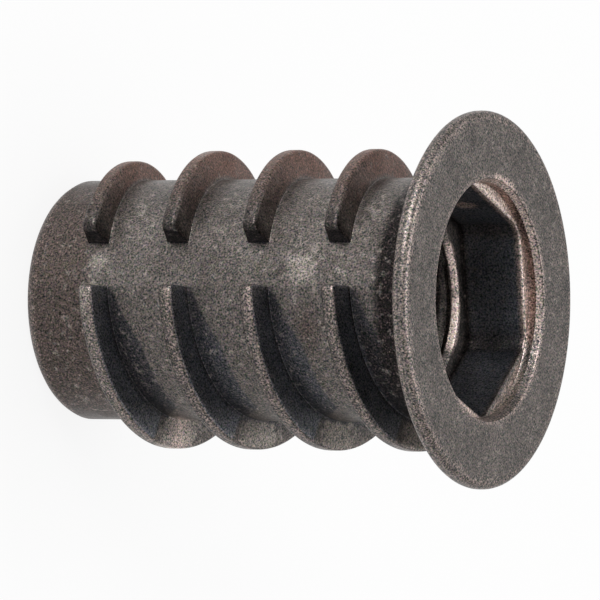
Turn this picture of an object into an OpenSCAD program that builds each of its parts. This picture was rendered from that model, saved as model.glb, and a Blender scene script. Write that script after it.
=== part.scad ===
// Flanged hex-drive threaded insert for wood, cast in one piece.
// It stands on its nose end, with the axis along +Z and the flange on top.
// The casting's seam lies along the +X and -X sides.

/* [Length] */
// Overall length, from the nose end to the flange face
overall_length = 18.5; // [14:0.1:30]

/* [Socket] */
// Hexagon size across flats
hex_flats = 8.2; // [7.8:0.1:12]
// Amount taken off each hexagon corner by its rounding
hex_corner_round = 0.12; // [0.05:0.01:0.25]
// Depth of the socket floor below the flange face
socket_depth = 3.2; // [2:0.1:6]
// Turn of the socket from the casting's seam, in degrees
socket_turn = -5; // [-30:1:30]
// Ledge between a hexagon corner and the wall of the round recess
recess_ledge = 0.1; // [0.05:0.01:0.3]
// Depth of the round recess at the mouth
recess_depth = 0.6; // [0.2:0.05:0.65]

/* [Screw bore] */
// Diameter of the bore that carries the inner thread
bore_dia = 6.8; // [4:0.1:7]
// Chamfer at the nose end of the bore
bore_chamfer = 0.4; // [0.1:0.05:0.6]
// Chamfer where the bore opens into the socket
mouth_chamfer = 0.2; // [0.1:0.05:0.3]

/* [Body] */
// Wall between a hexagon corner and the foot of the outer thread
corner_wall = 0.2; // [0.2:0.05:1]
// Chamfer round the nose end
nose_chamfer = 0.6; // [0.1:0.05:0.8]

/* [Outer thread] */
// Height of the ridge above the body
ridge_height = 1.15; // [0.6:0.05:2]
// Axial distance from turn to turn
thread_pitch = 3.6; // [2.5:0.1:6]
// Width of the ridge along its crest
crest_width = 0.55; // [0.1:0.05:0.8]
// Slope of the ridge's nose side from the radial direction, in degrees
nose_flank = 14; // [4:1:40]
// Slope of the ridge's flange side from the radial direction, in degrees
flange_flank = 7; // [4:1:40]
// Distance from the nose end to where the ridge starts to rise
nose_length = 1.6; // [1.2:0.05:4]
// Slope at which the first turn rises to full height, in degrees
lead_angle = 34; // [20:1:45]
// Angle from the seam to where the ridge starts, in degrees
start_angle = 176; // [0:1:360]
// Angle left plain along each seam, in degrees
seam_angle = 21.5; // [8:0.5:40]

/* [Flange] */
// Overhang of the flange beyond the outer thread
flange_overhang = 1.45; // [0.5:0.05:4]
// Thickness of the flange
flange_thick = 0.65; // [0.6:0.05:2]
// Bevel on both edges of the flange's rim
rim_bevel = 0.2; // [0.05:0.05:0.2]

/* [Hidden] */

// Sides of each round surface
round_sides = 96;
// Largest turn from one section of the ridge to the next, in degrees
ridge_step = 6;
// Seams spread evenly round the body
seam_count = 2;
// Depth to which the ridge is rooted in the body
ridge_root = 0.12;
// Overrun of each cut past the face where it starts
overrun = 1;
// Overrun of the mouth's chamfer above the socket floor
mouth_lap = 0.1;

hex_corner_r = hex_flats / 2 / cos(30) - hex_corner_round;
recess_r = hex_corner_r + recess_ledge;
body_r = hex_corner_r + corner_wall;
crest_r = body_r + ridge_height;
flange_r = crest_r + flange_overhang;
bore_r = bore_dia / 2;
flange_z = overall_length - flange_thick;
socket_z = overall_length - socket_depth;
recess_z = overall_length - recess_depth;
ridge_foot_r = body_r - ridge_root;
ridge_top_z = overall_length - flange_thick / 2;
seam_pitch = 360 / seam_count;

// The ridge comes out of the body just after its first section and ends at the flange
first_angle = start_angle - 360 * ridge_root / 2 / tan(lead_angle) / thread_pitch;
last_angle = start_angle + 360 * (flange_z - nose_length) / thread_pitch;

// Height of the ridge's middle at an angle, counted on through every turn
function ridge_z(angle) = nose_length + thread_pitch * (angle - start_angle) / 360;

// Radius of the crest there, lower along the lead-in
function ridge_r(angle) = min(crest_r, body_r + (ridge_z(angle) - nose_length) * tan(lead_angle));

// Radius and height of the section's four corners, foot to crest to foot
function ridge_section(angle) =
    let (
        r = ridge_r(angle),
        half_crest = crest_width / 2,
        nose_foot = half_crest + (r - ridge_foot_r) * tan(nose_flank),
        flange_foot = half_crest + (r - ridge_foot_r) * tan(flange_flank),
        corners = [
            [ridge_foot_r, -nose_foot],
            [r, -half_crest],
            [r, half_crest],
            [ridge_foot_r, flange_foot]
        ]
    )
    [for (c = corners) [c[0], min(ridge_z(angle) + c[1], ridge_top_z)]];

// One run of the ridge between two seams
module ridge(from, to) {
    steps = ceil((to - from) / ridge_step);
    sides = 4;
    points = [
        for (i = [0 : steps])
        let (angle = from + (to - from) * i / steps)
        for (p = ridge_section(angle))
        [p[0] * cos(angle), p[0] * sin(angle), p[1]]
    ];
    walls = [
        for (i = [0 : steps - 1])
        for (j = [0 : sides - 1])
        let (
            a = i * sides + j,
            b = i * sides + (j + 1) % sides
        )
        each [[a, b, b + sides], [a, b + sides, a + sides]]
    ];
    start_face = [for (j = [sides - 1 : -1 : 0]) j];
    end_face = [for (j = [0 : sides - 1]) steps * sides + j];
    polyhedron(points, concat(walls, [start_face, end_face]));
}

// All the runs, with a plain strip left along each seam
module outer_thread() {
    for (k = [floor(first_angle / seam_pitch) : floor(last_angle / seam_pitch)]) {
        from = max(first_angle, k * seam_pitch + seam_angle / 2);
        to = min(last_angle, (k + 1) * seam_pitch - seam_angle / 2);
        if (to - from > ridge_step) ridge(from, to);
    }
}

// Body and flange as one turned profile
module turned_blank() {
    rotate_extrude($fn = round_sides)
        polygon([
            [0, 0],
            [body_r - nose_chamfer, 0],
            [body_r, nose_chamfer],
            [body_r, flange_z],
            [flange_r - rim_bevel, flange_z],
            [flange_r, flange_z + rim_bevel],
            [flange_r, overall_length - rim_bevel],
            [flange_r - rim_bevel, overall_length],
            [0, overall_length]
        ]);
}

// Round recess at the mouth, with the hexagon below it
module drive_socket() {
    translate([0, 0, recess_z])
        cylinder(r = recess_r, h = recess_depth + overrun, $fn = round_sides);
    translate([0, 0, socket_z])
        intersection() {
            rotate([0, 0, socket_turn])
                cylinder(d = hex_flats / cos(30), h = socket_depth, $fn = 6);
            cylinder(r = hex_corner_r, h = socket_depth, $fn = round_sides);
        }
}

// Bore for the inner thread, open at the nose end and chamfered at both ends
module screw_bore() {
    translate([0, 0, -overrun])
        cylinder(r = bore_r, h = socket_z + 2 * overrun, $fn = round_sides);
    translate([0, 0, socket_z - mouth_chamfer])
        cylinder(
            r1 = bore_r,
            r2 = bore_r + mouth_chamfer + mouth_lap,
            h = mouth_chamfer + mouth_lap,
            $fn = round_sides
        );
    translate([0, 0, -overrun])
        cylinder(
            r1 = bore_r + bore_chamfer + overrun,
            r2 = bore_r,
            h = bore_chamfer + overrun,
            $fn = round_sides
        );
}

module insert() {
    color([0.38, 0.36, 0.35])
        difference() {
            union() {
                turned_blank();
                outer_thread();
            }
            drive_socket();
            screw_bore();
        }
}

insert();
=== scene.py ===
import math

import bpy
import numpy as np
from mathutils import Matrix, Vector


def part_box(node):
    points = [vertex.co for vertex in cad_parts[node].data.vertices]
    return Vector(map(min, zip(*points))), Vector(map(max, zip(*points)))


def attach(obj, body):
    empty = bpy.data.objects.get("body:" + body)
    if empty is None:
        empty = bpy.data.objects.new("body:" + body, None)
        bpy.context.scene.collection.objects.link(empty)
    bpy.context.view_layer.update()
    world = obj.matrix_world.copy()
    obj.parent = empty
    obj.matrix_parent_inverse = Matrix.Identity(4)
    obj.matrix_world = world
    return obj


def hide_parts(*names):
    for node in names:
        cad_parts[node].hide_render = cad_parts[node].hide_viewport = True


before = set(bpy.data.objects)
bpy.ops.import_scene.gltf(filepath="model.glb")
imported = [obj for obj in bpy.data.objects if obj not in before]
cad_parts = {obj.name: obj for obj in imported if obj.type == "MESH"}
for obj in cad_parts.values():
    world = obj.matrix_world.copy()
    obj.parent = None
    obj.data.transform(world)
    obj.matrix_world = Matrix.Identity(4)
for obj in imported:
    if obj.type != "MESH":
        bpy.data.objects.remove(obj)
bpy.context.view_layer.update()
nodeLow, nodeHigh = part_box("insert")
mm = 0.001  # sizes below are in millimetres
print("frame loaded")

# the casting: sizes that the part's source has, and small roundings that only show here
casting = {
    "length": (nodeHigh.z - nodeLow.z) / mm,
    "flangeR": (nodeHigh.x - nodeLow.x) / mm / 2,
    "flangeThick": 0.65,
    "rimRound": 0.28,
    "hexFlats": 8.2,
    "hexCornerRound": 0.12,
    "socketDepth": 3.2,
    "socketTurn": -5.0,
    "recessLedge": 0.1,
    "recessDepth": 0.6,
    "recessEdge": 0.05,  # rounding of the recess mouth
    "bevelOut": 0.04,  # bevel of the recess, from its radius out and in
    "bevelIn": 0.08,
    "bevelDrop": 0.28,
    "hexEdge": 0.1,
    "floorEdge": 0.08,  # blend of the hexagon's walls into the socket floor
    "boreDia": 6.8,
    "boreChamfer": 0.4,
    "mouthChamfer": 0.2,
    "mouthLip": 0.03,
    "cornerWall": 0.2,
    "noseChamfer": 0.6,
    "noseBulge": 0.12,  # share of the chamfer by which it is crowned
    "ridgeHeight": 1.15,
    "pitch": 3.6,
    "crestWidth": 0.55,
    "noseFlank": 14.0,  # slopes of the ridge's two sides
    "flangeFlank": 7.0,
    "crestRound": 0.15,  # blends of the ridge at its crest and foot
    "footRound": 0.03,
    "noseLength": 1.6,
    "leadAngle": 34.0,
    "startAngle": 176.0,
    "seamAngle": 21.5,
    "flangeFillet": 0.12,
    "ridgeCount": 5,
    "leastRise": 0.03,  # of the lead-in
    "roundLimit": 0.4,  # largest rounding, as a share of the ridge's height
}

# the fine thread in the bore
screwThread = {
    "pitch": 1.25,
    "depth": 0.6,
    "crestShare": 0.25,  # flats, as shares of the pitch
    "rootShare": 0.125,
    "runIn": 0.5,
    "rowsPerTurn": 8,
}

# how finely the surface is divided
netting = {
    "bandColumns": 6,  # half of a seam band
    "windowColumns": 84,
    # degrees into a run, and the share of full height there
    "edgeSteps": ((0.0, 0.0), (0.35, 0.72), (0.8, 0.9), (1.5, 0.97), (2.6, 1.0)),
    "cornerSteps": (-2.73, -1.4, 0.0, 1.4, 2.73),
    "cornerClear": 0.6,
    "plainRows": 13,
    "cornerRows": 5,  # round the ridge's crest and foot
    "flankShares": (0.2, 0.4, 0.6, 0.8),
    "leastStep": 0.012,
    "rimRows": 6,
    "rimClear": 8.0,  # degrees by which the rim's roundings stop short of its side
    "edgeRows": 5,  # round the edges of recess and hexagon
    "cornerHold": 0.02,  # rows this close keep an inner corner crisp
    "hexRows": 11,  # down the hexagon's walls
    "sharpAngle": 50.0,
}


def between(start, end, share):
    return start + (end - start) * share


def rampUp(value, start, over):
    # 0 up to the start, 1 once past it by the given amount
    return np.clip((value - start) / over, 0, 1)


def columnAngles(form, net):
    # half a turn from seam to seam, then the same again
    half = form["seamAngle"] / 2
    columns = [(a, 0.0) for a in np.linspace(0, half, net["bandColumns"], endpoint=False)]
    columns += [(half + step, share) for step, share in net["edgeSteps"]]
    inset = half + net["edgeSteps"][-1][0]
    columns += [(a, 1.0) for a in np.linspace(inset, 180 - inset, net["windowColumns"])[1:-1]]
    columns += [(180 - half - step, share) for step, share in reversed(net["edgeSteps"])]
    columns += [(a, 0.0) for a in np.linspace(180 - half, 180, net["bandColumns"], endpoint=False)[1:]]
    columns += [(a + 180, share) for a, share in columns]
    # the hexagon's corners get columns of their own
    corners = [
        (form["socketTurn"] + 60 * k + step) % 360 for k in range(6) for step in net["cornerSteps"]
    ]
    kept = []
    for a, share in columns:
        gap = min(abs((a - c + 180) % 360 - 180) for c in corners)
        if gap > net["cornerClear"] or 0 < share < 1:
            kept.append((a, share))
    for c in corners:
        fromSeam = (c + 90) % 180 - 90
        kept.append((c, 0.0 if abs(fromSeam) < half else 1.0))
    kept.sort()
    return np.array([a for a, share in kept]), np.array([share for a, share in kept])


def ridgeMiddles(form, angles):
    # height of each turn's middle on every column, counted so that only the back seam shifts by a turn
    half = form["seamAngle"] / 2
    turns = np.arange(form["ridgeCount"])[:, None]

    def middle(a):
        return form["noseLength"] + form["pitch"] * (a - form["startAngle"]) / 360

    firstSide = middle(angles + 360)
    secondSide = middle(angles)
    low, high = 180 - half, 180 + half
    across = between(middle(low + 360), middle(high), rampUp(angles, low, high - low))
    heights = np.where(angles <= low, firstSide, np.where(angles >= high, secondSide, across))
    return heights[None, :] + turns * form["pitch"]


def ridgeCrest(form, middle):
    # the first turn climbs out of the nose
    lead = math.tan(math.radians(form["leadAngle"]))
    return np.clip((middle - form["noseLength"]) * lead, form["leastRise"], form["ridgeHeight"])


def ridgeCorners(form, crest, slope):
    # rounding of crest and foot on one side, and where along the axis their middles lie
    half = form["crestWidth"] / 2
    limit = form["roundLimit"] * crest
    crestRound = np.minimum(form["crestRound"], limit)
    footRound = np.minimum(form["footRound"], limit)
    crestAt = half + crestRound * (math.tan(slope) - 1 / math.cos(slope))
    footAt = half + (crest - footRound) * math.tan(slope) + footRound / math.cos(slope)
    return crestRound, footRound, crestAt, footAt


def ridgeOffsets(form, net, crest, slope):
    # distances from the ridge's middle at which one side gets a row
    crestRound, footRound, crestAt, footAt = ridgeCorners(form, crest, slope)
    turns = np.linspace(0, 1, net["cornerRows"])
    offsets = [crestAt + crestRound * math.sin(turn * (math.pi / 2 - slope)) for turn in turns]
    fromZ = offsets[-1]
    toZ = footAt - footRound * math.cos(slope)
    offsets += [between(fromZ, toZ, share) for share in net["flankShares"]]
    offsets += [footAt - footRound * math.cos(slope + turn * (math.pi / 2 - slope)) for turn in turns]
    return offsets


def sideRise(form, crest, off, slope):
    crestRound, footRound, crestAt, footAt = ridgeCorners(form, crest, slope)
    overCrest = np.clip(off - crestAt, 0, crestRound)
    top = crest - crestRound + np.sqrt(crestRound**2 - overCrest**2)
    side = crest - (off - form["crestWidth"] / 2) / math.tan(slope)
    beforeFoot = np.clip(footAt - off, 0, footRound)
    foot = footRound - np.sqrt(footRound**2 - beforeFoot**2)
    onCrest = off < crestAt + crestRound * math.cos(slope)
    onFlank = off < footAt - footRound * math.cos(slope)
    return np.where(onCrest, top, np.where(onFlank, side, foot))


def ridgeRise(form, middles, z, fades):
    # how far the ridge stands out of the body at height z of each column
    noseSlope, flangeSlope = math.radians(form["noseFlank"]), math.radians(form["flangeFlank"])
    rise = np.zeros_like(z)
    for middle in middles:
        crest = ridgeCrest(form, middle)
        off = z - middle
        noseSide = sideRise(form, crest, -off, noseSlope)
        flangeSide = sideRise(form, crest, off, flangeSlope)
        rise = np.maximum(rise, np.where(off < 0, noseSide, flangeSide))
    return rise * fades


def boreThread(thread, angles, z, bottom, top):
    # depth of the groove at height z of each column
    turn = (z / thread["pitch"] - angles / 360) % 1.0
    fromRoot = np.abs(turn - 0.5) * 2
    fromCrest = 1 - thread["crestShare"] - fromRoot
    groove = rampUp(fromCrest, 0, 1 - thread["crestShare"] - thread["rootShare"])
    runIn = rampUp(np.minimum(z - bottom, top - z), 0, thread["runIn"])
    return thread["depth"] * groove * runIn


def pastRidge(form, middles, z):
    # distance along the axis from the flange side of the last crest below
    past = np.full_like(z, -1.0)
    for middle in middles:
        beyond = z - middle - form["crestWidth"] / 2
        past = np.where(beyond >= 0, beyond, past)
    return past


# painted shade and shadow in the grooves, painted light on the lower sides, and where the metal is brown,
# rusty or pale
# angles are in degrees from the front seam, and the lower half runs from there to the back seam
grooveShadeAndColour = {
    "stripFrom": 0.1,  # painted shadow strip past the crest, on the lower half
    "startWidth": 0.34,
    "fullWidth": 1.25,
    "wideningFrom": 13.0,
    "wideningOver": 27.0,
    "stripEnd": 79.0,
    "stripFade": 10.0,
    "hiddenWidth": 0.3,
    "endNear": 0.4,  # painted shade on the down-facing end faces of the upper runs
    "endRise": 0.06,
    "endInside": 0.4,
    "flangeZone": 2.05,  # painted shade up to the flange
    "flangeBlend": 0.35,
    "flangeTone": 1.0,
    "flangeRise": 0.3,
    "noseZ": 2.7,  # brown up to here
    "noseBlend": 0.7,
    # painted shade on the nose's lower side
    "lowNoseTone": 0.25,
    "lowFrom": 0.6,  # sine of the angle
    "lowOver": 0.4,
    "footRise": 0.15,  # the ridge counts from this height
    "sideReach": 0.5,
    "topFrom": 0.5,  # shares of its height
    "topOver": 0.3,
    "rustFrom": 18.0,  # on the upper half, from the seam
    "rustOver": 46.0,
    "rustTo": 268.0,  # less of it on the hidden side
    "hiddenOver": 15.0,
    "hiddenRust": 0.5,
    # painted shade on the upper crests near the seam
    "crestTone": 0.6,
    "crestOver": 40.0,
    "endOver": 4.5,  # painted shade at the end of each upper run
    "endBlend": 2.0,
    "endTone": 0.75,
    "noseSideTone": 0.34,  # painted shade on the nose side of the lower crests
    "noseSideFrom": 0.05,
    "noseSideOver": 0.1,
    "lastTone": 0.6,  # painted shade in the last groove, up to the flange
    "lastFrom": 24.0,
    "lastOver": 12.0,
    "lastStart": 0.2,
    "lastRoom": 1.5,
    "creaseTone": 0.22,  # painted shade in the crease along the ridge's foot
    "creaseFrom": 0.11,
    "creaseTo": 0.24,
    "rootTone": 0.2,  # painted shade between the ridges on the lower half
    "rootRise": 0.1,
    "capFrom": 87.0,  # painted light on the ridges' sides further round the lower half
    "capOver": 10.0,
    "capTo": 124.0,
    "capPale": 1.5,
    "sideCool": 0.8,
    "thinFrom": 22.0,  # cooler painted shadow strip further round
    "thinOver": 20.0,
    "thinAbove": 5.6,
    "thinCool": 0.15,
}
# angle, height, half width round the body, half height and strength
# pale patches of the metal, and painted light low on the lower half at 103 degrees
paleSpots = (
    (0.5, 3.45, 0.42, 0.5, 1.05),
    (15.0, 3.3, 0.5, 0.4, 0.7),
    (103.0, 4.75, 0.7, 0.6, 3.0),
    (1.0, 12.65, 0.75, 0.55, 1.0),
    (-1.0, 14.5, 0.5, 0.6, 0.45),
    (-27.0, 4.7, 0.7, 0.5, 0.55),
    (-30.0, 15.0, 0.9, 0.5, 0.6),
)
darkSpots = (
    (3.5, 11.6, 0.3, 0.28, 0.6),
    (1.0, 8.2, 1.2, 2.2, 0.15),
    (-23.0, 6.7, 0.9, 0.45, 0.5),
    (17.0, 5.85, 0.4, 0.3, 0.45),
)
brownSpots = ((32.0, 12.85, 0.9, 0.5, 1.0),)


def spotShare(spots, bodyR, angles, z):
    share = np.zeros_like(z)
    for angle, height, across, along, strength in spots:
        around = np.radians((angles - angle + 180) % 360 - 180) * bodyR
        away = (around / across) ** 2 + ((z - height) / along) ** 2
        share = np.maximum(share, strength * np.exp(-away))
    return share


def stripInside(form, paintedMarks, angles, fromSeam, lower, past, middles, z):
    # how far each point lies inside the painted shadow strip
    half = form["seamAngle"] / 2
    widening = rampUp(angles, paintedMarks["wideningFrom"], paintedMarks["wideningOver"])
    width = paintedMarks["startWidth"] + (paintedMarks["fullWidth"] - paintedMarks["startWidth"]) * widening
    fading = rampUp(angles, paintedMarks["stripEnd"], paintedMarks["stripFade"])
    width = width + (paintedMarks["hiddenWidth"] - width) * fading
    inside = np.where(lower & (past >= 0), np.minimum(width - past, past - paintedMarks["stripFrom"]), -1.0)
    # the ends of the upper runs, which face down, get the painted shade too
    upperEnd = (angles > 180) & (np.abs(fromSeam - half) < paintedMarks["endNear"])
    fullRise = ridgeRise(form, middles, z, np.ones_like(z))
    inside = np.where(upperEnd & (fullRise > paintedMarks["endRise"]), paintedMarks["endInside"], inside)
    return np.clip(inside, -1, 1)


def grooveMarks(form, paintedMarks, bodyR, flangeZ, angles, middles, z, rise):
    # depth inside the painted shadow strip, then the shares of painted shade with a few stains, brown,
    # pale and painted light, rusty and cool metal
    half = form["seamAngle"] / 2
    past = pastRidge(form, middles, z)
    fromSeam = np.abs((angles + 90) % 180 - 90)
    lower = (angles > half) & (angles < 180 - half)
    upper = (angles > 180 + half) & (angles < 360 - half)
    inside = stripInside(form, paintedMarks, angles, fromSeam, lower, past, middles, z)

    # where each point lies on the ridge
    onRidge = rampUp(rise, 0, paintedMarks["footRise"])
    onSide = onRidge * (past >= 0) * (past < paintedMarks["sideReach"])
    onTop = rampUp(rise / form["ridgeHeight"], paintedMarks["topFrom"], paintedMarks["topOver"])
    onTop = onTop * ((past < 0) | (past > paintedMarks["sideReach"]))
    fromMiddle = np.min(np.abs(z - middles), axis=0)
    onNoseSide = rampUp(fromMiddle, paintedMarks["noseSideFrom"], paintedMarks["noseSideOver"])
    onNoseSide = onNoseSide * (past >= form["pitch"] - form["crestWidth"])
    lastGroove = z > middles[-2] + form["crestWidth"] / 2 + paintedMarks["lastStart"]
    lastGroove = lastGroove & (middles[-2] < flangeZ - paintedMarks["lastRoom"])

    # brown nose and rusty upper ridges
    onNose = rampUp(paintedMarks["noseZ"] + paintedMarks["noseBlend"] - z, 0, paintedMarks["noseBlend"])
    brown = np.maximum(onNose, spotShare(brownSpots, bodyR, angles, z))
    rust = upper * onRidge * rampUp(fromSeam, paintedMarks["rustFrom"], paintedMarks["rustOver"])
    rust = rust * (1 - paintedMarks["hiddenRust"] * rampUp(paintedMarks["rustTo"] - angles, 0, paintedMarks["hiddenOver"]))

    # painted shade in hollows, under the flange and on the shaded sides, and a few dark stains, of which
    # the darkest counts
    zoneStart = flangeZ - paintedMarks["flangeZone"] - paintedMarks["flangeBlend"] / 2
    nearFlange = rampUp(z, zoneStart, paintedMarks["flangeBlend"]) * (rise < paintedMarks["flangeRise"])
    underside = rampUp(np.sin(np.radians(angles)), paintedMarks["lowFrom"], paintedMarks["lowOver"])
    nearEnd = 1 - rampUp(fromSeam, half + paintedMarks["endOver"], paintedMarks["crestOver"])
    atEnd = 1 - rampUp(fromSeam, half + paintedMarks["endOver"] - paintedMarks["endBlend"] / 2, paintedMarks["endBlend"])
    intoLast = lastGroove * rampUp(angles, paintedMarks["lastFrom"], paintedMarks["lastOver"])
    onCrease = (past > paintedMarks["creaseFrom"]) & (past < paintedMarks["creaseTo"]) & (angles < paintedMarks["stripEnd"])
    tones = (
        paintedMarks["flangeTone"] * nearFlange,
        spotShare(darkSpots, bodyR, angles, z),
        paintedMarks["lowNoseTone"] * onNose * underside,
        paintedMarks["crestTone"] * upper * onTop * nearEnd,
        paintedMarks["endTone"] * upper * onRidge * atEnd,
        paintedMarks["noseSideTone"] * lower * onTop * onNoseSide,
        paintedMarks["lastTone"] * lower * intoLast,
        paintedMarks["creaseTone"] * lower * onCrease,
        paintedMarks["rootTone"] * lower * (rise < paintedMarks["rootRise"]),
    )
    shadeAndStain = np.max(tones, axis=0)

    # painted light on the ridges' sides further round the lower half, and a cool tint on the painted
    # shadow strip further round, apart from the first and last grooves
    onCap = rampUp(angles, paintedMarks["capFrom"], paintedMarks["capOver"])
    onCap = onCap * rampUp(paintedMarks["capTo"] - angles, 0, 2 * paintedMarks["capOver"])
    pale = np.maximum(lower * onSide * onCap * paintedMarks["capPale"], spotShare(paleSpots, bodyR, angles, z))
    thin = rampUp(angles, paintedMarks["thinFrom"], paintedMarks["thinOver"]) * (z > paintedMarks["thinAbove"]) * ~lastGroove
    coolSide = paintedMarks["sideCool"] * onSide * (angles < paintedMarks["capFrom"])
    cool = np.maximum(coolSide, paintedMarks["thinCool"] * thin * (inside > 0)) * lower
    return inside, shadeAndStain, brown, pale, rust, cool


# how bright the edges of the outside are painted, partly as wear and partly as highlights
edgeWearAndHighlights = {
    "noseWear": 0.1,
    "rimWearAndHighlight": 0.17,
    "rimTone": 0.12,  # painted shade between the rim's two highlighted edges
    # the lower crests get a painted highlight line, the upper ones hardly any
    "crestFrom": 0.8,  # share of the ridge's height
    "upperWearAndHighlight": 0.02,
    "lowerWearAndHighlight": 0.08,
    "flangeSideWearAndHighlight": 0.1,  # more on the flange side of a lower crest
    "flangeSideOver": 0.1,
    "seamWearAndHighlight": 0.08,  # and more again near the front seam
    "seamTo": 26.0,
    "seamOver": 8.0,
}
litRidgeEnds = ((103.0, 4.75, 0.6, 0.5, 0.6),)  # painted light on a ridge end low on the lower half, as the spots above


def castSizes(form, angles):
    # radii and heights that follow from the casting's sizes
    hexApothem = form["hexFlats"] / 2
    hexCornerR = hexApothem / math.cos(math.radians(30)) - form["hexCornerRound"]
    fromFlat = np.radians((angles - form["socketTurn"]) % 60 - 30)
    recessR = hexCornerR + form["recessLedge"]
    socketZ = form["length"] - form["socketDepth"]
    return {
        "hexCornerR": hexCornerR,
        "hexR": np.minimum(hexApothem / np.cos(fromFlat), hexCornerR),  # on each column
        "fromCorner": 30 - np.degrees(np.abs(fromFlat)),
        "bodyR": hexCornerR + form["cornerWall"],
        "mouthR": recessR + form["bevelOut"],
        "wallR": recessR - form["bevelIn"],
        "boreR": form["boreDia"] / 2,
        "flangeZ": form["length"] - form["flangeThick"],
        "recessZ": form["length"] - form["recessDepth"],
        "socketZ": socketZ,
        "boreTop": socketZ - form["mouthChamfer"] - form["mouthLip"],
    }


# a ring's marks: depth in the painted shadow strip, painted shade with a few stains, brown, paleness with
# painted light, rust, cool tint, and wear with painted highlights
def ring(rows, r, z, wearAndSheen=0.0, dark=-1.0, shadeAndStain=0.0, brown=0.0, pale=0.0, rust=0.0, cool=0.0):
    # each value is one number, or one for every column
    rows.append((r, z, wearAndSheen, dark, shadeAndStain, brown, pale, rust, cool))


def arcRings(rows, r, z, size, start, end, steps, wearAndSheen):
    for a in np.radians(np.linspace(start, end, steps)):
        ring(rows, r + size * math.cos(a), z + size * math.sin(a), wearAndSheen)


def noseRings(rows, form, paintedMarks, size):
    # the flat end and its crowned chamfer
    chamfer = form["noseChamfer"]
    innerR, outerR = size["boreR"] + form["boreChamfer"], size["bodyR"] - chamfer
    for share in (0.0, 0.5):
        ring(rows, between(innerR, outerR, share), 0.0, brown=1.0)
    for share in np.linspace(0, 1, 7):
        bulge = form["noseBulge"] * math.sin(math.pi * share) * chamfer
        r = size["bodyR"] - chamfer * (1 - share) + bulge
        ring(rows, r, chamfer * share - bulge, paintedMarks["noseWear"], brown=1.0)


def bodyHeights(form, net, middles, flangeZ):
    # rows from the nose chamfer up to the flange, close together along the ridge
    heights = []
    last = form["noseChamfer"]
    for middle in middles:
        crest = ridgeCrest(form, middle)
        noseSide = ridgeOffsets(form, net, crest, math.radians(form["noseFlank"]))
        flangeSide = ridgeOffsets(form, net, crest, math.radians(form["flangeFlank"]))
        first = middle - noseSide[-1]
        for j in range(1, net["plainRows"]):
            heights.append(last + (first - last) * j / net["plainRows"])
        heights += [middle - offset for offset in reversed(noseSide)]
        heights += [middle + offset for offset in flangeSide]
        last = heights[-1]
    rowsAbove = range(len(heights) - 1, -1, -1)
    return [np.minimum(z, flangeZ - above * net["leastStep"]) for z, above in zip(heights, rowsAbove)]


def crestWearAndHighlight(form, paintedMarks, angles, middles, z, rise):
    crestRise = paintedMarks["crestFrom"] * form["ridgeHeight"]
    onCrest = rampUp(rise, crestRise, form["ridgeHeight"] - crestRise)
    overMiddle = z - middles[np.argmin(np.abs(z - middles), axis=0), np.arange(len(z))]
    onFlangeSide = rampUp(overMiddle, -paintedMarks["flangeSideOver"], paintedMarks["flangeSideOver"])
    nearSeam = rampUp(paintedMarks["seamTo"] - angles, 0, paintedMarks["seamOver"])
    more = (paintedMarks["flangeSideWearAndHighlight"] + paintedMarks["seamWearAndHighlight"] * nearSeam) * onFlangeSide
    return np.where(angles < 180, paintedMarks["lowerWearAndHighlight"] + more, paintedMarks["upperWearAndHighlight"]) * onCrest


def bodyRings(rows, form, net, size, angles, fades):
    # the outside with its ridge, and the fillet under the flange
    middles = ridgeMiddles(form, angles)
    bodyR, flangeZ, fillet = size["bodyR"], size["flangeZ"], form["flangeFillet"]
    for z in bodyHeights(form, net, middles, flangeZ):
        rise = ridgeRise(form, middles, z, fades)
        intoFillet = np.clip(z - flangeZ + fillet, 0, fillet)
        filletRise = fillet - np.sqrt(fillet**2 - intoFillet**2)
        marks = grooveMarks(form, grooveShadeAndColour, bodyR, flangeZ, angles, middles, z, rise)
        wearAndSheen = crestWearAndHighlight(form, edgeWearAndHighlights, angles, middles, z, rise)
        wearAndSheen = np.maximum(wearAndSheen, spotShare(litRidgeEnds, bodyR, angles, z))
        ring(rows, bodyR + np.maximum(rise, filletRise), z, wearAndSheen, *marks)


def flangeRings(rows, form, net, paintedMarks, size):
    # underside, rounded rim and face
    rim, clear, steps = form["rimRound"], net["rimClear"], net["rimRows"]
    innerR, rimR = rows[-1][0], form["flangeR"] - rim
    for share in (0.25, 0.5, 0.75):
        ring(rows, between(innerR, rimR, share), size["flangeZ"])
    arcRings(rows, rimR, size["flangeZ"] + rim, rim, -90, -clear, steps, paintedMarks["rimWearAndHighlight"])
    ring(rows, form["flangeR"], form["length"] - form["flangeThick"] / 2, shadeAndStain=paintedMarks["rimTone"])
    arcRings(rows, rimR, form["length"] - rim, rim, clear, 90, steps, paintedMarks["rimWearAndHighlight"])
    for share in np.linspace(0, 1, 9)[1:-1]:
        ring(rows, between(rimR, size["mouthR"] + form["recessEdge"], share), form["length"])


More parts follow.
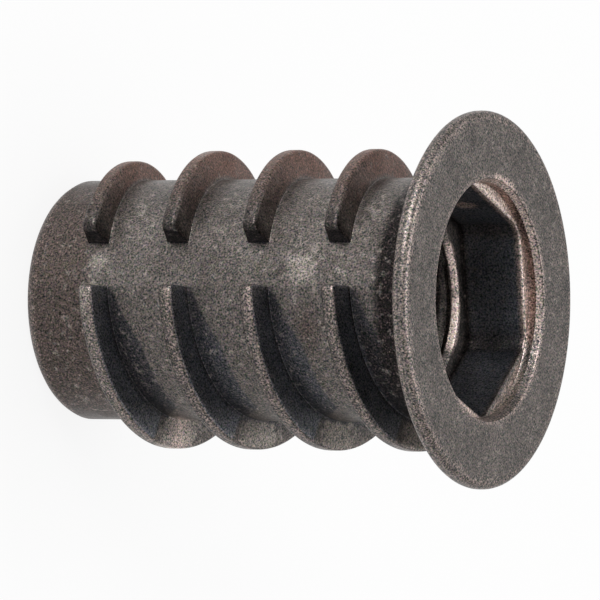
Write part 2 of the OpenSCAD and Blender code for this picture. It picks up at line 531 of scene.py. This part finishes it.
# painted highlights with some wear, painted shade and evenly lit places round the socket
socketWearAndLight = {
    # angles where each place starts and ends, and over how many it fades
    "brightEdge": (236.0, 300.0, 4.0),
    "creamHighlight": (262.0, 284.0, 4.0),
    "evenLitLedge": (112.0, 172.0, 16.0),
    "evenLitBevel": (104.0, 186.0, 20.0),
    "shadedBevel": (154.0, 184.0, 12.0),
    "upperMouth": (203.0, 236.0, 8.0),
    "lowerMouth": (166.0, 197.0, 8.0),
    # how much painted highlight and wear, painted shade or paleness each form gets, and by how much those
    # places change it
    "mouthWearAndHighlight": 0.25,
    "mouthCream": 0.5,
    "bevelWearAndHighlight": 0.6,
    "bevelEvenLit": 0.5,
    "bevelCream": 0.3,
    "bevelShade": 0.4,
    "wallWear": 0.33,
    "wallEvenLit": 0.2,
    "wallPale": 1.3,
    "wallFootWear": 0.3,
    "ledgeWearAndHighlight": 0.75,
    "ledgeBright": 0.25,
    "ledgeEvenLit": 0.6,
    "ledgePale": 0.6,
    "hexEdgeWearAndHighlight": 0.55,
    "hexEdgeBright": 0.9,
    "hexEdgeEvenLit": 0.5,
    "cornerWidth": 3.0,  # degrees at full strength, and again to fade
    # painted shade in the hexagon's corners
    "cornerTone": 0.3,
    "cornerCool": 0.6,
    # painted shade where the hexagon's walls meet the socket floor
    "hexFootTone": 0.8,
    "floorEdgeTone": 0.9,
    # the bore's chamfer gets a painted highlight, stronger above and below, as well as wear
    "chamferWearAndHighlight": 0.1,
    "chamferUpper": 0.7,
    "chamferLower": 2.0,
    "chamferEdge": 0.7,  # share of that painted highlight and wear
    "boreEdgeWear": 0.3,
}
hexWallGlints = ((263.0, 16.55, 0.25, 0.35, 2.5),)  # a painted reflection on the hexagon's walls, as the spots above


def sector(angles, limits):
    start, end, blend = limits
    middle, half = (start + end) / 2, (end - start) / 2
    away = np.abs((angles - middle + 180) % 360 - 180)
    return np.clip((half - away) / blend + 0.5, 0, 1)


def recessRings(rows, form, net, paintedMarks, size, angles):
    # a bevel and a ledge with painted highlights and a wall between them, round the hexagon; on the evenly
    # lit side the highlights are weaker and the wall paler
    bright = sector(angles, paintedMarks["brightEdge"])
    cream = sector(angles, paintedMarks["creamHighlight"])
    evenLit = sector(angles, paintedMarks["evenLitLedge"])
    mouthR, wallR, hexR = size["mouthR"], size["wallR"], size["hexR"]
    edge, hexEdge, steps = form["recessEdge"], form["hexEdge"], net["edgeRows"]
    mouthZ, wallZ, recessZ = form["length"] - edge, form["length"] - form["bevelDrop"], size["recessZ"]

    mouthWearAndHighlight = paintedMarks["mouthWearAndHighlight"] + paintedMarks["mouthCream"] * cream
    arcRings(rows, mouthR + edge, mouthZ, edge, 90, 180, steps, mouthWearAndHighlight)
    bevelEvenLit = paintedMarks["bevelEvenLit"] * sector(angles, paintedMarks["evenLitBevel"])
    bevelWearAndHighlight = paintedMarks["bevelWearAndHighlight"] - bevelEvenLit + paintedMarks["bevelCream"] * cream
    bevelTone = paintedMarks["bevelShade"] * sector(angles, paintedMarks["shadedBevel"])
    for share in (0.1, 0.5, 0.9, 1.0):
        ring(rows, between(mouthR, wallR, share), between(mouthZ, wallZ, share), bevelWearAndHighlight, shadeAndStain=bevelTone)

    wallWear = paintedMarks["wallWear"] - paintedMarks["wallEvenLit"] * evenLit
    hold = net["cornerHold"]
    for z in (wallZ - hold, (wallZ + recessZ) / 2, recessZ + hold):
        ring(rows, wallR, z, wallWear, pale=paintedMarks["wallPale"] * evenLit, rust=1 - evenLit)
    ring(rows, wallR - hold / 2, recessZ, paintedMarks["wallFootWear"], pale=evenLit)

    ledgeWearAndHighlight = (paintedMarks["ledgeWearAndHighlight"] + paintedMarks["ledgeBright"] * bright) * (1 - paintedMarks["ledgeEvenLit"] * evenLit)
    ledgePale = paintedMarks["ledgePale"] * evenLit
    for share in (0.2, 0.5, 0.8):
        ring(rows, between(wallR, hexR + hexEdge, share), recessZ, ledgeWearAndHighlight, pale=ledgePale)
    edgeWearAndHighlight = paintedMarks["hexEdgeWearAndHighlight"] + paintedMarks["hexEdgeBright"] * bright - paintedMarks["hexEdgeEvenLit"] * evenLit
    arcRings(rows, hexR + hexEdge, recessZ - hexEdge, hexEdge, 90, 180, steps, edgeWearAndHighlight)


def hexRings(rows, form, net, paintedMarks, size, angles):
    # walls of the hexagon, with painted shade in its corners and at their foot
    corner = np.clip(2 - size["fromCorner"] / paintedMarks["cornerWidth"], 0, 1)
    topZ, footZ = size["recessZ"] - form["hexEdge"], size["socketZ"] + form["floorEdge"]
    for share in np.linspace(0, 1, net["hexRows"])[1:]:
        z = between(topZ, footZ, share)
        wearAndSheen = spotShare(hexWallGlints, size["hexCornerR"], angles, z)
        shadeAndStain = paintedMarks["cornerTone"] * corner + paintedMarks["hexFootTone"] * (share == 1)
        cool = (1 - paintedMarks["cornerCool"] * corner) * (share < 1)
        ring(rows, size["hexR"], z, wearAndSheen, shadeAndStain=shadeAndStain, cool=cool)


def floorRings(rows, form, paintedMarks, size, angles):
    # socket floor, and the chamfer where the bore opens into it
    hexR, boreR, socketZ = size["hexR"], size["boreR"], size["socketZ"]
    edge, chamfer = form["floorEdge"], form["mouthChamfer"]
    chamferR = boreR + chamfer + form["mouthLip"]
    ring(rows, hexR - edge / 4, socketZ + edge / 4, shadeAndStain=paintedMarks["floorEdgeTone"])
    ring(rows, hexR - edge, socketZ, shadeAndStain=paintedMarks["floorEdgeTone"])
    for share in (0.35, 0.7):
        ring(rows, between(hexR - edge, chamferR, share), socketZ)
    wearAndSheen = paintedMarks["chamferWearAndHighlight"] + paintedMarks["chamferUpper"] * sector(angles, paintedMarks["upperMouth"])
    wearAndSheen = wearAndSheen + paintedMarks["chamferLower"] * sector(angles, paintedMarks["lowerMouth"])
    ring(rows, chamferR, socketZ, paintedMarks["chamferEdge"] * wearAndSheen)
    for share in (0.08, 0.5, 0.92):
        ring(rows, boreR + chamfer * (1 - share), socketZ - chamfer * share, wearAndSheen)
    ring(rows, boreR, size["boreTop"], paintedMarks["boreEdgeWear"])


def boreRings(rows, form, thread, size, angles):
    # bore with its fine thread, down to the chamfer at the nose
    top, chamfer = size["boreTop"], form["boreChamfer"]
    rowCount = int((top - chamfer) / thread["pitch"] * thread["rowsPerTurn"])
    for z in np.linspace(top, chamfer, rowCount)[1:]:
        ring(rows, size["boreR"] + boreThread(thread, angles, z, chamfer, top), z)
    ring(rows, size["boreR"] + chamfer / 2, chamfer / 2, brown=1.0)


def castRings(form, thread, net):
    # from the nose end up the outside, over the flange and back down through the bore
    angles, fades = columnAngles(form, net)
    size = castSizes(form, angles)
    rows = []
    noseRings(rows, form, edgeWearAndHighlights, size)
    bodyRings(rows, form, net, size, angles, fades)
    flangeRings(rows, form, net, edgeWearAndHighlights, size)
    recessRings(rows, form, net, socketWearAndLight, size, angles)
    hexRings(rows, form, net, socketWearAndLight, size, angles)
    floorRings(rows, form, socketWearAndLight, size, angles)
    boreRings(rows, form, thread, size, angles)
    return angles, rows


# names of a ring's marks, in its order
markNames = ("edgeWearAndHighlight", "paintedShadowStrip", "shadeAndStainShare", "brownShare", "paleAndLitShare", "rustShare", "coolShare")


def castMesh(name, form, thread, net):
    angles, rows = castRings(form, thread, net)
    one = np.ones_like(angles)
    values = np.array([[value * one for value in row] for row in rows])
    radius, height, *marks = values.transpose(1, 0, 2)
    turn = np.radians(angles)[None, :]
    points = np.stack((radius * np.cos(turn), radius * np.sin(turn), height), axis=-1) * mm
    rowCount, columnCount = radius.shape
    index = np.arange(rowCount * columnCount).reshape(rowCount, columnCount)
    nextRow = np.roll(index, -1, axis=0)
    quads = np.stack((index, np.roll(index, -1, axis=1), np.roll(nextRow, -1, axis=1), nextRow), axis=-1)
    mesh = bpy.data.meshes.new(name)
    mesh.from_pydata(points.reshape(-1, 3).tolist(), [], quads.reshape(-1, 4).tolist())
    mesh.validate()
    for markName, shares in zip(markNames, marks):
        mesh.attributes.new(markName, "FLOAT", "POINT").data.foreach_set("value", shares.ravel())
    mesh.shade_smooth()
    mesh.set_sharp_from_angle(angle=math.radians(net["sharpAngle"]))
    piece = bpy.data.objects.new(name, mesh)
    bpy.context.scene.collection.objects.link(piece)
    print(name, "has", len(mesh.polygons), "faces")
    return piece


# the cast metal, its own colours, and the painted shade, shadow and highlights over it
castMetal = {
    "dark": (0.105, 0.094, 0.087, 1),
    "light": (0.185, 0.166, 0.154, 1),
    "brown": (0.092, 0.072, 0.064, 1),
    # colour of the painted shade, and of a few dark stains
    "toned": (0.018, 0.016, 0.016, 1),
    "rust": (0.180, 0.100, 0.076, 1),
    # colour of the painted shadow strip on the lower half
    "strip": (0.058, 0.057, 0.062, 1),
    "cool": (0.168, 0.180, 0.203, 1),
    "pale": (0.30, 0.27, 0.245, 1),
    # colour of the wear and the painted highlights
    "worn": (0.75, 0.60, 0.54, 1),
    # coats over the bare metal, own colours, painted shade and painted light: colour, mark, noise that
    # breaks it up, spread, start and full strength
    "coats": (
        ("brown", "brownShare", "grain", 0.3, 0.0, 1.15),
        ("strip", "paintedShadowStrip", "grain", 0.12, -0.05, 0.06),
        ("toned", "shadeAndStainShare", "grain", 0.2, 0.0, 1.0),
        ("rust", "rustShare", "grain", 0.4, 0.0, 1.0),
        ("cool", "coolShare", "grain", 0.2, 0.0, 1.0),
        ("pale", "paleAndLitShare", "mottle", 2.6, 0.2, 1.0),
        ("worn", "edgeWearAndHighlight", "grain", 0.7, 0.1, 1.1),
    ),
    # scale per metre, so patches of 1.4 mm, and detail
    "noises": {"patches": (700, 5), "mottle": (3200, 4), "grain": (13500, 3)},
    "mottleShare": 0.45,
    "darkAt": 0.34,  # noise at which the bare metal is dark and light
    "lightAt": 0.66,
    "speckle": 5.0,
    "leastSpeckle": 0.15,
    "tint": 0.15,
    "roughLow": 0.36,
    "roughHigh": 0.52,
    "roughFrom": 0.3,
    "roughTo": 0.7,
    "grainBump": 0.35,
    "bumpDepth": 0.00003,
}


def link(tree, fromNode, output, toNode, entry):
    tree.links.new(fromNode.outputs[output], toNode.inputs[entry])


def noise(tree, place, scale, detail):
    node = tree.nodes.new("ShaderNodeTexNoise")
    node.inputs["Scale"].default_value = scale
    node.inputs["Detail"].default_value = detail
    link(tree, place, "Object", node, "Vector")
    return node


def mark(tree, name, grain, spread, low, high):
    # a painted mark whose edge is broken up by the grain
    source = tree.nodes.new("ShaderNodeAttribute")
    source.attribute_name = name
    broken = tree.nodes.new("ShaderNodeMath")
    broken.operation = "MULTIPLY_ADD"
    broken.inputs[1].default_value = spread
    link(tree, grain, "Fac", broken, 0)
    link(tree, source, "Fac", broken, 2)
    share = tree.nodes.new("ShaderNodeMapRange")
    share.inputs["From Min"].default_value = low + spread / 2
    share.inputs["From Max"].default_value = high + spread / 2
    link(tree, broken, 0, share, "Value")
    return share


def coat(tree, under, output, colour, share):
    # in a mix of colours, 6 and 7 are the inputs and 2 is the result
    node = tree.nodes.new("ShaderNodeMix")
    node.data_type = "RGBA"
    node.inputs[7].default_value = colour
    link(tree, under, output, node, 6)
    link(tree, share, "Result", node, 0)
    return node


def coatedMetal(tree, look, noises):
    # uneven bare metal with the coats over it, painted shade and light among them
    uneven = tree.nodes.new("ShaderNodeMix")
    uneven.data_type = "FLOAT"
    uneven.inputs[0].default_value = look["mottleShare"]
    link(tree, noises["patches"], "Fac", uneven, 2)
    link(tree, noises["mottle"], "Fac", uneven, 3)
    ramp = tree.nodes.new("ShaderNodeValToRGB")
    ends = ((look["darkAt"], look["dark"]), (look["lightAt"], look["light"]))
    for element, (position, colour) in zip(ramp.color_ramp.elements, ends):
        element.position = position
        element.color = colour
    link(tree, uneven, 0, ramp, "Fac")
    layer, output = ramp, "Color"
    for colour, markName, breaker, spread, low, high in look["coats"]:
        share = mark(tree, markName, noises[breaker], spread, low, high)
        layer, output = coat(tree, layer, output, look[colour], share), 2
    return layer


def vectorStep(tree, operation, source, output, *levels):
    # levels go to the inputs after the first
    node = tree.nodes.new("ShaderNodeVectorMath")
    node.operation = operation
    link(tree, source, output, node, 0)
    for entry, level in enumerate(levels, 1):
        node.inputs[entry].default_value = (level, level, level)
    return node


def speckledMetal(tree, look, layer, grain):
    # the fine speckle of the casting, with a little colour in it
    blend = tree.nodes.new("ShaderNodeMix")
    blend.data_type = "RGBA"
    blend.inputs[0].default_value = look["tint"]
    link(tree, grain, "Fac", blend, 6)
    link(tree, grain, "Color", blend, 7)
    speckle = vectorStep(tree, "MULTIPLY_ADD", blend, 2, look["speckle"], 1 - look["speckle"] / 2)
    limited = vectorStep(tree, "MAXIMUM", speckle, 0, look["leastSpeckle"])
    speckled = vectorStep(tree, "MULTIPLY", layer, 2)
    link(tree, limited, 0, speckled, 1)
    return speckled


def metalMaterial(look):
    material = bpy.data.materials.new("castMetal")
    material.use_nodes = True
    tree = material.node_tree
    shader = tree.nodes["Principled BSDF"]
    shader.inputs["Metallic"].default_value = 1.0
    place = tree.nodes.new("ShaderNodeTexCoord")
    noises = {name: noise(tree, place, scale, detail) for name, (scale, detail) in look["noises"].items()}
    layer = coatedMetal(tree, look, noises)
    link(tree, speckledMetal(tree, look, layer, noises["grain"]), 0, shader, "Base Color")
    rough = tree.nodes.new("ShaderNodeMapRange")
    rough.inputs["From Min"].default_value = look["roughFrom"]
    rough.inputs["From Max"].default_value = look["roughTo"]
    rough.inputs["To Min"].default_value = look["roughLow"]
    rough.inputs["To Max"].default_value = look["roughHigh"]
    link(tree, noises["patches"], "Fac", rough, "Value")
    link(tree, rough, "Result", shader, "Roughness")
    bump = tree.nodes.new("ShaderNodeBump")
    bump.inputs["Strength"].default_value = look["grainBump"]
    bump.inputs["Distance"].default_value = look["bumpDepth"]
    link(tree, noises["grain"], "Fac", bump, "Height")
    link(tree, bump, "Normal", shader, "Normal")
    return material


insert = castMesh("insertCasting", casting, screwThread, netting)
insert.data.materials.append(metalMaterial(castMetal))
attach(insert, "root")
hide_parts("insert")
print("casting made")

# the photograph's view: the axis lies across the picture, so the camera is rolled on its side
photoView = {
    "seamAbove": 17.3,  # degrees from the seam down to the direction of the view
    "climb": 28.0,
    "aimZ": 10.045,
    "distance": 254.0,
    "pixelsPerMm": 25.17,
    "imageWidth": 600,
    "sensor": 36.0,
    "clipStart": 0.01,  # metres
    "clipEnd": 10,
}


def photoCamera(view):
    around, climb = math.radians(view["seamAbove"]), math.radians(view["climb"])
    front = Vector((math.cos(around), math.sin(around), 0))
    axis = Vector((0, 0, 1))
    back = front * math.cos(climb) + axis * math.sin(climb)
    right = axis * math.cos(climb) - front * math.sin(climb)
    up = back.cross(right)
    turn = Matrix((right, up, back)).transposed().to_4x4()
    camera = bpy.data.cameras.new("photoCamera")
    camera.sensor_width = view["sensor"]
    camera.lens = view["sensor"] * view["pixelsPerMm"] * view["distance"] / view["imageWidth"]
    camera.clip_start = view["clipStart"]
    camera.clip_end = view["clipEnd"]
    seat = bpy.data.objects.new("photoCamera", camera)
    bpy.context.scene.collection.objects.link(seat)
    place = Vector((0, 0, view["aimZ"])) + back * view["distance"]
    seat.matrix_world = Matrix.Translation(place * mm) @ turn
    bpy.context.scene.camera = seat
    return front, up, axis


viewFront, viewUp, viewAxis = photoCamera(photoView)
print("camera set")

# the floor and the light, in metres
studio = {
    "floorHalf": 3.0,
    "floorColour": (0.86, 0.86, 0.86, 1),
    "floorRough": 0.9,
    "floorGlow": 0.88,  # share of plain white that the camera and the metal see
    "worldColour": (1, 1, 1, 1),
    "worldStrength": 0.6,
    # toward the view's front, its upper side and along the axis, then size and power
    "keySoftbox": ((0.66, 0.73, 0.25), 0.25, 1.6),
    "topSoftbox": ((-0.25, 0.1, 0.95), 0.35, 0.9),
    "lampDistance": 0.5,
    "lampAimZ": 0.01,
}


def floorMaterial(look):
    # plain white to the camera and to reflections, a pale board to all other light
    material = bpy.data.materials.new("paleFloor")
    material.use_nodes = True
    tree = material.node_tree
    shader = tree.nodes["Principled BSDF"]
    shader.inputs["Base Color"].default_value = look["floorColour"]
    shader.inputs["Roughness"].default_value = look["floorRough"]
    white = tree.nodes.new("ShaderNodeEmission")
    path = tree.nodes.new("ShaderNodeLightPath")
    seen, output = path, "Is Camera Ray"
    for ray in ("Is Glossy Ray", "Is Transmission Ray"):
        either = tree.nodes.new("ShaderNodeMath")
        either.operation = "MAXIMUM"
        link(tree, seen, output, either, 0)
        link(tree, path, ray, either, 1)
        seen, output = either, 0
    share = tree.nodes.new("ShaderNodeMath")
    share.operation = "MULTIPLY"
    share.inputs[1].default_value = look["floorGlow"]
    link(tree, seen, output, share, 0)
    both = tree.nodes.new("ShaderNodeMixShader")
    link(tree, share, 0, both, 0)
    link(tree, shader, "BSDF", both, 1)
    link(tree, white, "Emission", both, 2)
    link(tree, both, 0, tree.nodes["Material Output"], "Surface")
    return material


def floorPlane(look):
    half = look["floorHalf"]
    corners = [(-half, -half, 0), (half, -half, 0), (half, half, 0), (-half, half, 0)]
    mesh = bpy.data.meshes.new("floor")
    mesh.from_pydata(corners, [], [(0, 1, 2, 3)])
    mesh.materials.append(floorMaterial(look))
    floor = bpy.data.objects.new("floor", mesh)
    bpy.context.scene.collection.objects.link(floor)


def areaLamp(name, look):
    (toFront, toUp, toAxis), size, power = look[name]
    lamp = bpy.data.lights.new(name, "AREA")
    lamp.shape = "SQUARE"
    lamp.size = size
    lamp.energy = power
    seat = bpy.data.objects.new(name, lamp)
    bpy.context.scene.collection.objects.link(seat)
    seat.location = (viewFront * toFront + viewUp * toUp + viewAxis * toAxis) * look["lampDistance"]
    aim = Vector((0, 0, look["lampAimZ"])) - seat.location
    seat.rotation_euler = aim.to_track_quat("-Z", "Y").to_euler()


def softRoom(look):
    world = bpy.data.worlds.new("softRoom")
    bpy.context.scene.world = world
    world.use_nodes = True
    background = world.node_tree.nodes["Background"]
    background.inputs["Color"].default_value = look["worldColour"]
    background.inputs["Strength"].default_value = look["worldStrength"]


floorPlane(studio)
areaLamp("keySoftbox", studio)
areaLamp("topSoftbox", studio)
softRoom(studio)
bpy.context.scene.view_settings.view_transform = "Standard"
print("floor and light set")
